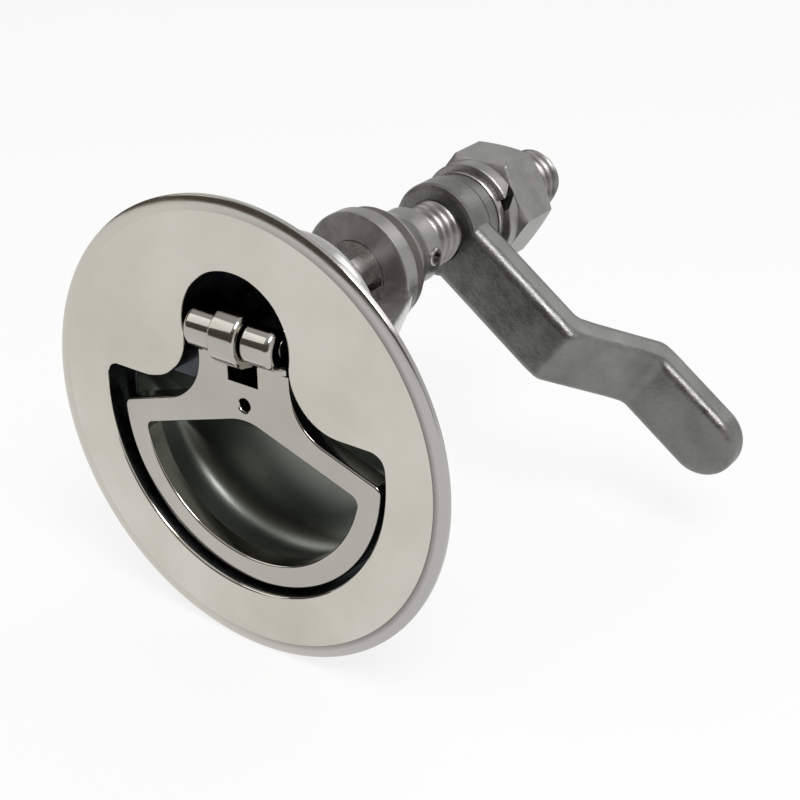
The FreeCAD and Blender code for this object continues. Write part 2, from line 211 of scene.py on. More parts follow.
def both_sides(half):
    """Closed outline from its right half, which runs from the bottom to the top on the middle line."""
    return half + [(-x, z) for x, z in half[-2:0:-1]]


def at(outline, y):
    """An (x, z) outline set at a depth."""
    return [(x, y, z) for x, z in outline]


def quarter(step):
    """Sine and cosine at each step over a quarter turn."""
    return [(math.sin(math.radians(a)), math.cos(math.radians(a))) for a in range(0, 91, step)]


def bearing(cx, cz, p):
    """Direction in degrees from a centre to a point."""
    return math.degrees(math.atan2(p[1] - cz, p[0] - cx))


def keyhole(grow=0.0):
    """Outline of the recess, grown by an even amount."""
    r, hr, top = RECESS_R + grow, HEAD_R + grow, SHOULDER_Z + grow
    fr, cr = NECK_FILLET - grow, RECESS_CORNER + grow
    cz = top - cr
    cx = math.sqrt((r - cr) ** 2 - cz ** 2)
    fz = top + fr
    fx = math.sqrt((hr + fr) ** 2 - (fz - PIN_Z) ** 2)
    turn = bearing(0, 0, (cx, cz))
    low = bearing(fx, fz, (0, PIN_Z)) % 360
    half = arc(0, 0, r, -90, turn, 72)
    half += arc(cx, cz, cr, turn, 90, 10)
    half += straight((cx, top), (fx, top), 4)
    half += arc(fx, fz, fr, 270, low, 24)
    half += arc(0, PIN_Z, hr, low - 180, 90, 32)
    return both_sides(half + [(0, PIN_Z + hr)])


def sector(r, level, cr):
    """Corner between the arc about the handle's centre and its sloping line: its centre and bearings."""
    nx, nz = math.sin(SLOPE), math.cos(SLOPE)
    d0 = level * nz - cr - nz * HANDLE_CZ
    t = math.sqrt((r - cr) ** 2 - d0 ** 2)
    cx, cz = nx * d0 + nz * t, HANDLE_CZ + nz * d0 - nx * t
    return cx, cz, bearing(0, HANDLE_CZ, (cx, cz)), 90 - math.degrees(SLOPE)


def handle_outline(grow=0.0):
    """The handle's ring and neck as one filled outline; the grip is cut from it."""
    nx, nz = math.sin(SLOPE), math.cos(SLOPE)
    fr = HANDLE_FILLET - grow
    fx, fz = NECK + HANDLE_FILLET, SHOULDER + HANDLE_FILLET * nz
    r, cr = HANDLE_R + grow, HANDLE_CORNER + grow
    tangent = (fx - fr * nx, fz - fr * nz)
    level = tangent[1] + tangent[0] * nx / nz
    cx, cz, a0, a1 = sector(r, level, cr)
    half = arc(0, HANDLE_CZ, r, -90, a0, 64)
    half += arc(cx, cz, cr, a0, a1, 10)
    half += straight((cx + cr * nx, cz + cr * nz), tangent, 6)
    half += arc(fx, fz, fr, 270 - math.degrees(SLOPE), 180, 20)
    half += straight((NECK + grow, fz), (NECK + grow, PIN_Z), 6)
    half += straight((NECK + grow, PIN_Z), (0, PIN_Z), 8)
    return both_sides(half + [(0, PIN_Z)])


def grip_outline(grow=0.0):
    """Opening of the handle."""
    nx, nz = math.sin(SLOPE), math.cos(SLOPE)
    level = GRIP_TOP + grow / nz
    apex_r = GRIP_APEX + grow
    r, cr = HANDLE_R - RIM + grow, GRIP_CORNER + grow
    cx, cz, a0, a1 = sector(r, level, cr)
    az = level - apex_r / nz
    half = arc(0, HANDLE_CZ, r, -90, a0, 56)
    half += arc(cx, cz, cr, a0, a1, 12)
    half += straight((cx + cr * nx, cz + cr * nz), (apex_r * nx, az + apex_r * nz), 8)
    half += arc(0, az, apex_r, a1, 90, 10)
    return both_sides(half + [(0, az + apex_r)])


def bowl_outline(inset, drop, grow):
    """The bowl's outline at one depth: its round side drawn in, its top lowered, all of it grown."""
    r = RECESS_R - LEDGE - inset + grow
    top = SHOULDER_Z - LEDGE - drop + grow
    cr = BOWL_CORNER + grow
    cz = top - cr
    cx = math.sqrt((r - cr) ** 2 - cz ** 2)
    turn = bearing(0, 0, (cx, cz))
    half = arc(0, 0, r, -90, turn, 64) + arc(cx, cz, cr, turn, 90, 16) + straight((cx, top), (0, top), 8)
    return both_sides(half + [(0, top)])


def bowl_solid(name, y0, y1, grow, edge=0.0):
    """Scoop from y0 to y1 whose outlines close in towards its floor."""
    depths, drops = np.array(BOWL_DROPS).T
    loops = []
    if edge:
        loops.append(at(bowl_outline(-edge, -edge, grow), y0 - 1.0))
        for a in range(0, 90, 15):
            e = edge * (1 - math.sin(math.radians(a)))
            loops.append(at(bowl_outline(-e, -e, grow), y0 + edge * (1 - math.cos(math.radians(a)))))
    else:
        loops.append(at(bowl_outline(0, 0, grow), y0 - 1.0))
    for t in np.linspace(0.12, 1.0, 26):
        share = math.sin(t * math.pi / 2)
        inset = BOWL_INSET * (1 - math.sqrt(max(0.0, 1 - share ** 5.0)))
        drop = np.interp(share, depths, drops)
        loops.append(at(bowl_outline(inset, drop, grow), y0 + share * (y1 - y0)))
    return loft(name, loops)


def flared(name, outline, front, rear, edge, back_edge=0.0):
    """Tool that cuts an opening with a rounded lip at its front, and at its rear if asked."""
    loops = [at(outline(edge), front - 1.0)]
    for s, c in quarter(15):
        loops.append(at(outline(edge * (1 - s)), front + abs(edge) * (1 - c) + 0.001))
    if back_edge:
        for s, c in quarter(18):
            loops.append(at(outline(back_edge * (1 - c)), rear - back_edge * (1 - s)))
        loops.append(at(outline(back_edge), rear + 1.0))
    else:
        loops.append(at(outline(0.0), rear))
    return loft(name, loops)


def crowned(name, outline, front, rear, edge, back_edge):
    """Plate with its outer edges rounded at front and rear."""
    loops = []
    for s, c in quarter(15):
        loops.append(at(outline(-edge * (1 - s)), front + edge * (1 - c)))
    for s, c in quarter(18):
        loops.append(at(outline(-back_edge * (1 - c)), rear - back_edge * (1 - s)))
    return loft(name, loops)


def plate_profile():
    """Half section of the plate: flat front, crowned rim and rounded rear edge."""
    steps = 12
    profile = [(PLATE_FLAT_R - 0.5, PLATE_FRONT), (PLATE_FLAT_R, PLATE_FRONT)]
    for i in range(1, steps):
        t = i / steps
        bulge = 4 * RIM_BULGE * t * (1 - t)
        profile.append((PLATE_FLAT_R + (PLATE_R - PLATE_FLAT_R) * t + bulge * 0.21,
                        PLATE_FRONT + (PLATE_EDGE - PLATE_FRONT) * t - bulge * 0.98))
    profile += [(PLATE_R - 0.08, PLATE_EDGE - 0.02), (PLATE_R, PLATE_EDGE + 0.08)]
    profile += arc(PLATE_R - RIM_REAR, -RIM_REAR, RIM_REAR, 0, 90, 6)
    return profile + [(PLATE_R - RIM_REAR, 0.0)]


def make_sleeve():
    """Walls of the recess behind the plate, up to the pin's height."""
    sleeve = loft("sleeve", [at(keyhole(WALL), y) for y in (-0.5, RECESS_Y + WALL)])
    return combine(sleeve, "DIFFERENCE", block("trim", -40, 40, -2, 20, PIN_Z - 1, 60))


def make_dome():
    """Rounded case over the ears."""
    profile = [(DOME_R, -0.5)]
    profile += [(DOME_R - DOME_EDGE * (1 - c), DOME_END - DOME_EDGE * (1 - s)) for s, c in quarter(9)]
    return turned("head", profile, z=DOME_Z)


def make_neck():
    """Cone from the plate to the eye, open above its shelf."""
    loops = []
    for y, r, zc in ((CONE_Y, CONE_R, CONE_Z), (EYE_Y0, CONE_END_R, PIN_Z)):
        loops.append([(r * math.cos(2 * math.pi * i / 128), y, zc + r * math.sin(2 * math.pi * i / 128))
                      for i in range(128)])
    return combine(loft("neck", loops), "DIFFERENCE", block("trim", -30, 30, 0, 60, SHELF_Z, 60))


def make_eye():
    return turned("eye", [(EYE_R - 0.4, EYE_Y0 - 0.001), (EYE_R - 0.12, EYE_Y0 + 0.12), (EYE_R, EYE_Y0 + 0.4),
                          (EYE_R, EYE_Y1 - 0.5), (EYE_R - 0.15, EYE_Y1 - 0.15), (EYE_R - 0.5, EYE_Y1)])


def make_housing():
    body = turned("housing_casting", plate_profile(), z=0.0, steps=256)
    shell = bowl_solid("shell", RECESS_Y, BOWL_Y + WALL, WALL)
    combine(body, "UNION", make_sleeve(), make_dome(), shell, make_neck(), make_eye())
    for x in (-BOSS_X, BOSS_X):
        combine(body, "UNION", turned("boss", BOSS_PROFILE, z=BOSS_Z, x=x, steps=48))
    # Keyhole recess with its rounded lip, pocket for the ears, and the scoop for the fingers
    combine(body, "DIFFERENCE", flared("recess", keyhole, PLATE_FRONT, RECESS_Y, FRONT_EDGE))
    pocket = turned("pocket", [(HEAD_R, RECESS_Y - 0.5), (HEAD_R, POCKET_Y)], steps=160)
    combine(pocket, "UNION", block("low", -HEAD_R, HEAD_R, RECESS_Y - 0.5, POCKET_Y, POCKET_LOW, PIN_Z))
    combine(body, "DIFFERENCE", pocket, bowl_solid("scoop", RECESS_Y, BOWL_Y, 0.0, BOWL_LIP))
    combine(body, "DIFFERENCE", turned("bore", [(BORE_R, 5.0), (BORE_R, EYE_Y1 + 1)]))
    for x in (-BOSS_X, BOSS_X):
        combine(body, "DIFFERENCE", turned("tap", TAP_PROFILE, z=BOSS_Z, x=x, steps=32))
    shade(body)
    return body


def ear_side(inset):
    """Side view of an ear: (y, z) points about the pin, moved inwards by inset, and by less below the lobe."""
    low = -11.0
    foot_r, foot_z = 1.2, -4.08
    face = HANDLE_FACE - PIN_Y
    rear = HANDLE_REAR - PIN_Y
    root_y = face - ROOT_R
    root_z = LOBE_Z - math.sqrt((LOBE_R + ROOT_R) ** 2 - (root_y - LOBE_Y) ** 2)
    lobe_a = bearing(LOBE_Y, LOBE_Z, (root_y, root_z)) % 360
    pts = arc(root_y, root_z, ROOT_R, 0, lobe_a - 180, 8)
    pts += arc(LOBE_Y, LOBE_Z, LOBE_R, lobe_a, 90, 40)
    top = LOBE_Z + LOBE_R
    # The foot is an involute: its height over the pocket's floor changes evenly with the lift
    a = (CAM_H - top) / (math.pi / 2)
    pts += straight((LOBE_Y, top), (a, top), 4)
    for i in range(25):
        t = math.pi / 2 * (1 - i / 24)
        h = CAM_H - a * t
        pts.append((h * math.cos(t) + a * math.sin(t), h * math.sin(t) - a * math.cos(t)))
    pts += straight((CAM_H, -a), (CAM_H, foot_z), 4)[1:]
    pts += arc(CAM_H - foot_r, foot_z, foot_r, 0, -38.7, 4)
    pts += straight((CAM_H - 0.26, -4.83), (rear, -7.5), 5)
    pts += straight((rear, -7.5), (rear, low), 4) + [(rear, low), (face, low)]
    pts += straight((face, low), (face, root_z), 5)[1:]
    pts = np.array(pts)
    ahead = np.roll(pts, -1, 0) - np.roll(pts, 1, 0)
    ahead /= np.linalg.norm(ahead, axis=1)[:, None]
    inward = np.stack([ahead[:, 1], -ahead[:, 0]], 1)
    share = np.clip((pts[:, 1] + 4.4) / 1.2, 0.0, 1.0) * 0.62 + 0.38
    return pts + inward * (inset * share)[:, None]


def make_ear(name, side):
    """One ear with rounded edges; side is 1 for the right one and -1 for the left one."""
    levels = [(EAR_SLOT + EAR_INNER_EDGE * (1 - c), EAR_INNER_EDGE * (1 - s)) for s, c in quarter(15)]
    levels += [(EAR - EAR_OUTER_EDGE * (1 - s), EAR_OUTER_EDGE * (1 - c)) for s, c in quarter(10)]
    return loft(name, [[(side * x, PIN_Y + y, PIN_Z + z) for y, z in ear_side(inset)] for x, inset in levels])


def make_handle():
    body = crowned("handle_ring", handle_outline, HANDLE_FACE, HANDLE_REAR, FRONT_EDGE, REAR_EDGE)
    combine(body, "DIFFERENCE", block("trim", -20, 20, -2, 6, PIN_Z - 4.6, PIN_Z + 2))
    combine(body, "DIFFERENCE", flared("grip", grip_outline, HANDLE_FACE, HANDLE_REAR, FRONT_EDGE, REAR_EDGE))
    hole = turned("hole", [(1.4, HANDLE_FACE - 1), (1.4, HANDLE_FACE + 0.01), (1.2, HANDLE_FACE + 0.12),
                           (1.1, HANDLE_FACE + 0.3), (1.1, 6.0)], z=HOLE_Z, steps=40)
    slot = block("slot", -EAR_SLOT - 0.05, EAR_SLOT + 0.05, -2, 6, PIN_Z - SLOT_DEPTH, PIN_Z)
    combine(body, "DIFFERENCE", hole, slot)
    combine(body, "UNION", make_ear("ear_right", 1), make_ear("ear_left", -1))
    combine(body, "DIFFERENCE", across("pin_hole", PIN_HOLE_R, -20, 20, PIN_Y, PIN_Z))
    shade(body, 16)
    return body


def across(name, r, x0, x1, y, z, steps=48, edge=0.0):
    """Round solid along X."""
    stops = [(x0, r - edge), (x0 + edge, r), (x1 - edge, r), (x1, r - edge)] if edge else [(x0, r), (x1, r)]
    loops = []
    for x, rr in stops:
        loops.append([(x, y + rr * math.cos(2 * math.pi * i / steps), z + rr * math.sin(2 * math.pi * i / steps))
                      for i in range(steps)])
    return loft(name, loops)


def make_tongue():
    """Round-nosed tongue for the pin, with its edges drawn in towards its middle."""
    side = [(TONGUE_Y + TONGUE_R * math.sin(math.radians(a)), PIN_Z + TONGUE_R * math.cos(math.radians(a)))
            for a in np.linspace(0, -180, 61)]
    side += [(TONGUE_END, PIN_Z - TONGUE_R), (TONGUE_END, PIN_Z + TONGUE_R)]
    centre = np.array([4.0, PIN_Z])
    spokes = np.array(side) - centre
    length = np.linalg.norm(spokes, axis=1)[:, None]
    # Depth into the edge and how far the outline is drawn in there
    edge = [(0.0, 0.7), (0.05, 0.44), (0.2, 0.2), (0.42, 0.06), (0.7, 0.0)]
    loops = []
    for x, inset in [(d - TONGUE, k) for d, k in edge] + [(TONGUE - d, k) for d, k in edge[::-1]]:
        loops.append([(x, y, z) for y, z in centre + spokes * (1 - inset / length)])
    return loft("spindle_shaft", loops)


def make_spindle():
    body = make_tongue()
    combine(body, "INTERSECT", turned("rod", [(SPINDLE_R, -10), (SPINDLE_R, 12)]))
    shank = turned("shank", [(5.2, ROD_Y), (SPINDLE_R, ROD_Y + 0.38), (SPINDLE_R, SHANK_END)])
    square = block("square", -SQUARE, SQUARE, SQUARE_Y0, SQUARE_Y1, PIN_Z - SQUARE, PIN_Z + SQUARE)
    ring = turned("ring", [(8, SQUARE_Y0), (8, SQUARE_Y1)], steps=64)
    combine(ring, "DIFFERENCE", square)
    combine(shank, "DIFFERENCE", ring)
    combine(body, "UNION", shank)
    combine(body, "DIFFERENCE", across("pin_eye", TONGUE_HOLE_R, -10, 10, PIN_Y, PIN_Z))
    shade(body, 16)
    return body


def thread_tree():
    """Geometry nodes for a screw thread: rows of points follow the turns, so every crest is a clean line."""
    tree = bpy.data.node_groups.new("screw thread", "GeometryNodeTree")
    for label, value in THREAD:
        s = tree.interface.new_socket(label, in_out="INPUT", socket_type="NodeSocketFloat")
        s.default_value = value
    s = tree.interface.new_socket("Finish", in_out="INPUT", socket_type="NodeSocketMaterial")
    tree.interface.new_socket("Thread", in_out="OUTPUT", socket_type="NodeSocketGeometry")
    nodes, links = tree.nodes, tree.links
    inp = nodes.new("NodeGroupInput")
    out = nodes.new("NodeGroupOutput")
    per_turn, around = 8, 64

    def math_node(op, a, b=None, clamp=False):
        n = nodes.new("ShaderNodeMath")
        n.operation = op
        n.use_clamp = clamp
        for i, v in enumerate((a, b)):
            if v is None:
                continue
            if isinstance(v, (int, float)):
                n.inputs[i].default_value = v
            else:
                links.new(v, n.inputs[i])
        return n.outputs[0]

    length = math_node("SUBTRACT", inp.outputs["End"], inp.outputs["Start"])
    turns = math_node("ADD", math_node("CEIL", math_node("DIVIDE", length, inp.outputs["Pitch"])), 2.0)
    rows = math_node("ADD", math_node("MULTIPLY", turns, float(per_turn)), 1.0)
    grid = nodes.new("GeometryNodeMeshGrid")
    grid.inputs["Size X"].default_value = 1.0
    grid.inputs["Size Y"].default_value = 1.0
    links.new(rows, grid.inputs["Vertices X"])
    grid.inputs["Vertices Y"].default_value = around + 1
    pos = nodes.new("GeometryNodeInputPosition")
    sep = nodes.new("ShaderNodeSeparateXYZ")
    links.new(pos.outputs[0], sep.inputs[0])
    u = math_node("ADD", sep.outputs["X"], 0.5)
    v = math_node("ADD", sep.outputs["Y"], 0.5)
    turn = math_node("SUBTRACT", math_node("MULTIPLY", u, turns), 1.0)
    y_free = math_node("ADD", inp.outputs["Start"],
                       math_node("MULTIPLY", inp.outputs["Pitch"], math_node("ADD", turn, v)))
    y = math_node("MINIMUM", math_node("MAXIMUM", y_free, inp.outputs["Start"]), inp.outputs["End"])
    # Share of a turn, folded to a V with flats at crest and root
    share = math_node("ABSOLUTE", math_node("SUBTRACT", math_node("FRACT", math_node("ADD", turn, 8.0)), 0.5))
    vee = math_node("MULTIPLY", math_node("SUBTRACT", share, 0.07), 1.0 / 0.36, clamp=True)
    r_thread = math_node("SUBTRACT", inp.outputs["Crest Radius"], math_node("MULTIPLY", inp.outputs["Depth"], vee))
    r_end = math_node("SUBTRACT", inp.outputs["Crest Radius"],
                      math_node("SUBTRACT", inp.outputs["Chamfer"], math_node("SUBTRACT", inp.outputs["End"], y)))
    r_cut = math_node("MINIMUM", r_thread, r_end)
    outside = math_node("GREATER_THAN", math_node("ABSOLUTE", math_node("SUBTRACT", y_free, y)),
                        math_node("MULTIPLY", inp.outputs["Pitch"], 0.2))
    r = math_node("MULTIPLY", r_cut, math_node("SUBTRACT", 1.0, outside))
    angle = math_node("MULTIPLY", v, 2 * math.pi)
    join = nodes.new("ShaderNodeCombineXYZ")
    links.new(math_node("MULTIPLY", r, math_node("COSINE", angle)), join.inputs["X"])
    links.new(y, join.inputs["Y"])
    links.new(math_node("ADD", inp.outputs["Centre Height"], math_node("MULTIPLY", r, math_node("SINE", angle))),
              join.inputs["Z"])
    move = nodes.new("GeometryNodeSetPosition")
    links.new(grid.outputs["Mesh"], move.inputs["Geometry"])
    links.new(join.outputs[0], move.inputs["Position"])
    weld = nodes.new("GeometryNodeMergeByDistance")
    weld.inputs["Distance"].default_value = 1e-6
    links.new(move.outputs[0], weld.inputs[0])
    real = nodes.new("GeometryNodeRealizeInstances")
    links.new(weld.outputs[0], real.inputs[0])
    mat = nodes.new("GeometryNodeSetMaterial")
    links.new(real.outputs[0], mat.inputs["Geometry"])
    links.new(inp.outputs["Finish"], mat.inputs["Material"])
    links.new(mat.outputs[0], out.inputs["Thread"])
    return tree


def make_thread(finish):
    """The screw thread behind the collar, from its geometry nodes, as a plain mesh."""
    obj = place("spindle_thread", [(0, 0, 0)], [])
    mod = obj.modifiers.new("thread", "NODES")
    mod.node_group = thread_tree()
    for item in mod.node_group.interface.items_tree:
        if item.in_out == "INPUT" and item.name == "Finish":
            mod[item.identifier] = finish
    baked(obj)
    outward(obj)
    shade(obj, 40)
    return obj


def make_collar():
    profile = [(BORE_R, COLLAR_Y0), (COLLAR_R - 0.3, COLLAR_Y0), (COLLAR_R, COLLAR_Y0 + 0.3),
               (COLLAR_R, COLLAR_Y0 + 0.6), (COLLAR_R - 0.12, COLLAR_Y0 + 1.0), (SLEEVE_R + 0.6, COLLAR_Y1 - 5.15),
               (SLEEVE_R + 0.3, COLLAR_Y1 - 4.6), (SLEEVE_R + 0.1, COLLAR_Y1 - 4.1), (SLEEVE_R, COLLAR_Y1 - 3.6),
               (SLEEVE_R, COLLAR_Y1 - 0.3), (SLEEVE_R - 0.3, COLLAR_Y1), (BORE_R, COLLAR_Y1)]
    body = hollow("taper_collar_body", profile)
    combine(body, "DIFFERENCE", across("pin_hole", 1.52, -12, 12, COLLAR_PIN_Y, PIN_Z))
    shade(body, 20)
    return body


def hollow(name, profile, steps=128):
    """Turned ring: a closed (radius, y) profile swept round the spindle."""
    n = len(profile)
    verts, faces = [], []
    for i in range(steps):
        a = 2 * math.pi * i / steps
        verts += [(r * math.cos(a), y, PIN_Z + r * math.sin(a)) for r, y in profile]
    for i in range(steps):
        j = (i + 1) % steps
        for k in range(n):
            m = (k + 1) % n
            faces.append((i * n + k, i * n + m, j * n + m, j * n + k))
    obj = place(name, verts, faces)
    outward(obj)
    return obj


def turn_about_spindle(obj, degrees):
    """Turns a mesh about Y and lifts it from z = 0 to the spindle's height."""
    obj.data.transform(Matrix.Translation((0, 0, PIN_Z * 0.001)) @ Matrix.Rotation(math.radians(degrees), 4, "Y"))


def make_collar_pin():
    """Slotted spring pin through the collar's sleeve."""
    half, slit = COLLAR_PIN_HALF, COLLAR_PIN_SLIT
    tube = across("spring_pin", COLLAR_PIN_R, -half, half, COLLAR_PIN_Y, PIN_Z, edge=0.2)
    combine(tube, "DIFFERENCE", across("hollow", COLLAR_PIN_BORE, -8, 8, COLLAR_PIN_Y, PIN_Z, steps=32))
    combine(tube, "DIFFERENCE", block("slit", -8, 8, COLLAR_PIN_Y, COLLAR_Y1 + 1, PIN_Z - slit, PIN_Z + slit))
    shade(tube, 20)
    return tube


def rounded_bar(front, back, edge):
    """The arm's bar between its two faces, in levels that draw in along the long edges and the round end."""
    half, thick = ARM_W / 2, ARM_REAR - ARM_Y
    turn = np.radians(np.linspace(0, 90, 8))
    levels = [(edge * (1 - math.cos(t)), edge * (1 - math.sin(t))) for t in turn]
    levels += [(thick - depth, inset) for depth, inset in levels[::-1]]
    along = np.linspace(-1, ARM_END - half, 120)
    verts = []
    for depth, inset in levels:
        w = half - inset
        rim = [(x, w) for x in along] + [(ARM_END - half + w * math.sin(a), w * math.cos(a))
                                         for a in np.radians(np.linspace(0, 90, 25))[1:-1]]
        ring = [(x, -u) for x, u in rim] + [(ARM_END - inset, 0.0)] + [(x, u) for x, u in rim[::-1]]
        for x, u in ring:
            y0 = np.interp(x, front[:, 0], front[:, 1])
            y1 = np.interp(x, back[:, 0], back[:, 1])
            verts.append((x, y0 + (y1 - y0) * depth / thick, u))
    n = len(ring)
    faces = []
    for k in range(len(levels) - 1):
        for i in range(n):
            j = (i + 1) % n
            faces.append((k * n + i, k * n + j, (k + 1) * n + j, (k + 1) * n + i))
    for base in (0, (len(levels) - 1) * n):
        for i in range(n // 2 - 1):
            faces.append((base + i, base + i + 1, base + n - 2 - i, base + n - 1 - i))
        faces.append((base + n // 2 - 1, base + n // 2, base + n // 2 + 1))
    bar = place("cam_arm_bar", verts, faces)
    outward(bar)
    return bar


def make_arm():
    """Cranked arm: a bar with two bends, its hub, and a short neck for the washers."""
    fold = math.atan2(ARM_STEP, 12.3)
    shift = 5.65 * math.tan(fold / 2)
    front = bent([(0, ARM_Y), (ARM_FOLD_0, ARM_Y), (ARM_FOLD_1, ARM_Y + ARM_STEP), (ARM_END, ARM_Y + ARM_STEP)], ARM_BEND)
    back = bent([(0, ARM_REAR), (ARM_FOLD_0 - shift, ARM_REAR), (ARM_FOLD_1 - shift, ARM_REAR + ARM_STEP),
                 (ARM_END, ARM_REAR + ARM_STEP)], ARM_BEND)
    bar = rounded_bar(np.array(front), np.array(back), ARM_EDGE)
    hub = turned("hub", [(7.5, ARM_Y), (8.1, ARM_Y + 0.25), (8.35, ARM_Y + 0.85), (8.35, ARM_REAR - 0.8),
                         (8.1, ARM_REAR - 0.2), (7.5, ARM_REAR + 0.05)], z=0.0)
    neck = turned("neck", [(7.7, ARM_REAR - 1), (7.7, ARM_REAR + 2.6), (7.45, ARM_REAR + 2.85)], z=0.0)
    combine(bar, "UNION", hub, neck)
    combine(bar, "DIFFERENCE", turned("bore", [(BORE_R, 40), (BORE_R, 70)], z=0.0))
    turn_about_spindle(bar, ARM_TURN)
    shade(bar, 20)
    return bar


def bent(points, radius):
    """Polyline with its inner corners turned into arcs of the given radius."""
    out = [points[0]]
    for a, b, c in zip(points, points[1:], points[2:]):
        a, b, c = (Vector(p) for p in (a, b, c))
        u, v = (a - b).normalized(), (c - b).normalized()
        half = u.angle(v) / 2
        reach = radius / math.tan(half)
        centre = b + (u + v).normalized() * (radius / math.sin(half))
        p, q = b + u * reach, b + v * reach
        for i in range(9):
            d = (p - centre).lerp(q - centre, i / 8).normalized()
            out.append(tuple(centre + d * radius))
    out.append(points[-1])
    return out


def make_nut():
    corner = NUT_FLATS / math.sqrt(3)
    hexagon = [(corner * math.cos(math.radians(60 * k - 2)), corner * math.sin(math.radians(60 * k - 2)))
               for k in range(6)]
    body = loft("lock_nut_body", [at([(x, z + PIN_Z) for x, z in hexagon], y) for y in (NUT_Y0, NUT_Y1)])
    slant = 1.55 * math.tan(math.radians(30))
    crown = turned("crown", [(9.0, NUT_Y0 - 0.01), (10.55, NUT_Y0 + slant), (10.55, NUT_Y1 - slant),
                             (9.0, NUT_Y1 + 0.01)], steps=192)
    combine(body, "INTERSECT", crown)
    rounded(body, 0.16, 2, 25)
    combine(body, "DIFFERENCE", turned("bore", [(6.3, NUT_Y0 - 1), (6.3, NUT_Y0), (BORE_R, NUT_Y0 + 0.7),
                                                (BORE_R, NUT_Y1 - 0.7), (6.3, NUT_Y1), (6.3, NUT_Y1 + 1)]))
    shade(body, 24)
    return body


def make_washers():
    """Flat washer, split lock washer, and the dark disc in front of the collar."""
    flat = hollow("flat_washer_ring", [(BORE_R, 59.42), (7.85, 59.42), (8.0, 59.6), (8.0, 60.8),
                                       (7.85, 60.97), (BORE_R, 60.97)])
    lock = hollow("lock_washer_ring", [(BORE_R, 60.99), (8.9, 60.99), (9.1, 61.2), (9.1, 63.6),
                                       (8.9, 63.79), (BORE_R, 63.79)])
    gap = block("gap", -0.8, 0.8, -5, 5, 0, 20)
    gap.data.transform(Matrix.Rotation(math.radians(35), 4, "Z"))
    gap.data.transform(Matrix.Translation((0, 0.06239, 0)))
    turn_about_spindle(gap, 60)
    combine(lock, "DIFFERENCE", gap)
    bore = SPINDLE_R + 0.02
    disc = hollow("thrust_ring", [(bore, THRUST_Y0), (THRUST_R - 0.3, THRUST_Y0), (THRUST_R - 0.05, THRUST_Y0 + 0.2),
                                  (THRUST_R, THRUST_Y0 + 0.5), (THRUST_R, THRUST_Y1 - 0.5),
                                  (THRUST_R - 0.05, THRUST_Y1 - 0.2), (THRUST_R - 0.3, THRUST_Y1), (bore, THRUST_Y1)])
    for obj in (flat, lock, disc):
        shade(obj, 25)
    return flat, lock, disc


class Finish:
    """Small helper that lays out a material's nodes."""

    def __init__(self, name, colour, metallic, roughness):
        self.mat = bpy.data.materials.new(name)
        self.mat.use_nodes = True
        self.nodes = self.mat.node_tree.nodes
        self.links = self.mat.node_tree.links
        self.shader = self.nodes["Principled BSDF"]
        self.shader.inputs["Base Color"].default_value = (*colour, 1)
        self.shader.inputs["Metallic"].default_value = metallic
        self.shader.inputs["Roughness"].default_value = roughness
        self.coords = self.nodes.new("ShaderNodeTexCoord").outputs["Object"]

    def noise(self, scale, detail=4.0, rough=0.5, stretch=None):
        """Noise over the object's own coordinates, drawn out along an axis if asked."""
        n = self.nodes.new("ShaderNodeTexNoise")
        n.inputs["Scale"].default_value = scale
        n.inputs["Detail"].default_value = detail
        n.inputs["Roughness"].default_value = rough
        source = self.coords
        if stretch:
            m = self.nodes.new("ShaderNodeMapping")
            m.inputs["Scale"].default_value = stretch
            self.links.new(self.coords, m.inputs["Vector"])
            source = m.outputs[0]
        self.links.new(source, n.inputs["Vector"])
        return n.outputs["Fac"]

    def ramp(self, source, low, high, a, b):
        """Maps low..high to a..b."""
        n = self.nodes.new("ShaderNodeMapRange")
        n.inputs["From Min"].default_value = low
        n.inputs["From Max"].default_value = high
        n.inputs["To Min"].default_value = a
        n.inputs["To Max"].default_value = b
        self.links.new(source, n.inputs["Value"])
        return n.outputs[0]

    def mix(self, factor, a, b):
        n = self.nodes.new("ShaderNodeMix")
        n.data_type = "RGBA"
        self.links.new(factor, n.inputs["Factor"])
        n.inputs["A"].default_value = (*a, 1)
        n.inputs["B"].default_value = (*b, 1)
        return n.outputs["Result"]

    def bump(self, source, strength, distance, below=None):
        n = self.nodes.new("ShaderNodeBump")
        n.inputs["Strength"].default_value = strength
        n.inputs["Distance"].default_value = distance
        self.links.new(source, n.inputs["Height"])
        if below:
            self.links.new(below, n.inputs["Normal"])
        return n.outputs[0]

    def vector(self, operation, source, by=None):
        n = self.nodes.new("ShaderNodeVectorMath")
        n.operation = operation
        self.links.new(source, n.inputs[0])
        if by:
            n.inputs[1].default_value = by
        return n

    def times(self, a, b):
        n = self.nodes.new("ShaderNodeMath")
        n.operation = "MULTIPLY"
        self.links.new(a, n.inputs[0])
        self.links.new(b, n.inputs[1])
        return n.outputs[0]

    def use(self, socket, source):
        self.links.new(source, self.shader.inputs[socket])


def polished_steel(name="polished steel", low=(0.515, 0.49, 0.435), high=(0.61, 0.585, 0.53)):
    f = Finish(name, high, 1.0, 0.09)
    f.use("Base Color", f.mix(f.ramp(f.noise(32, 4, 0.55), 0.36, 0.64, 0, 1), low, high))
    f.use("Roughness", f.ramp(f.noise(240, 5, 0.6), 0.3, 0.7, 0.07, 0.13))
    waves = f.bump(f.noise(45, 2), 0.25, 0.0004)
    pits = f.ramp(f.noise(1900, 2, 0.4), 0.22, 0.27, 0, 1)
    f.use("Normal", f.bump(pits, 0.35, 0.00004, waves))
    return f.mat


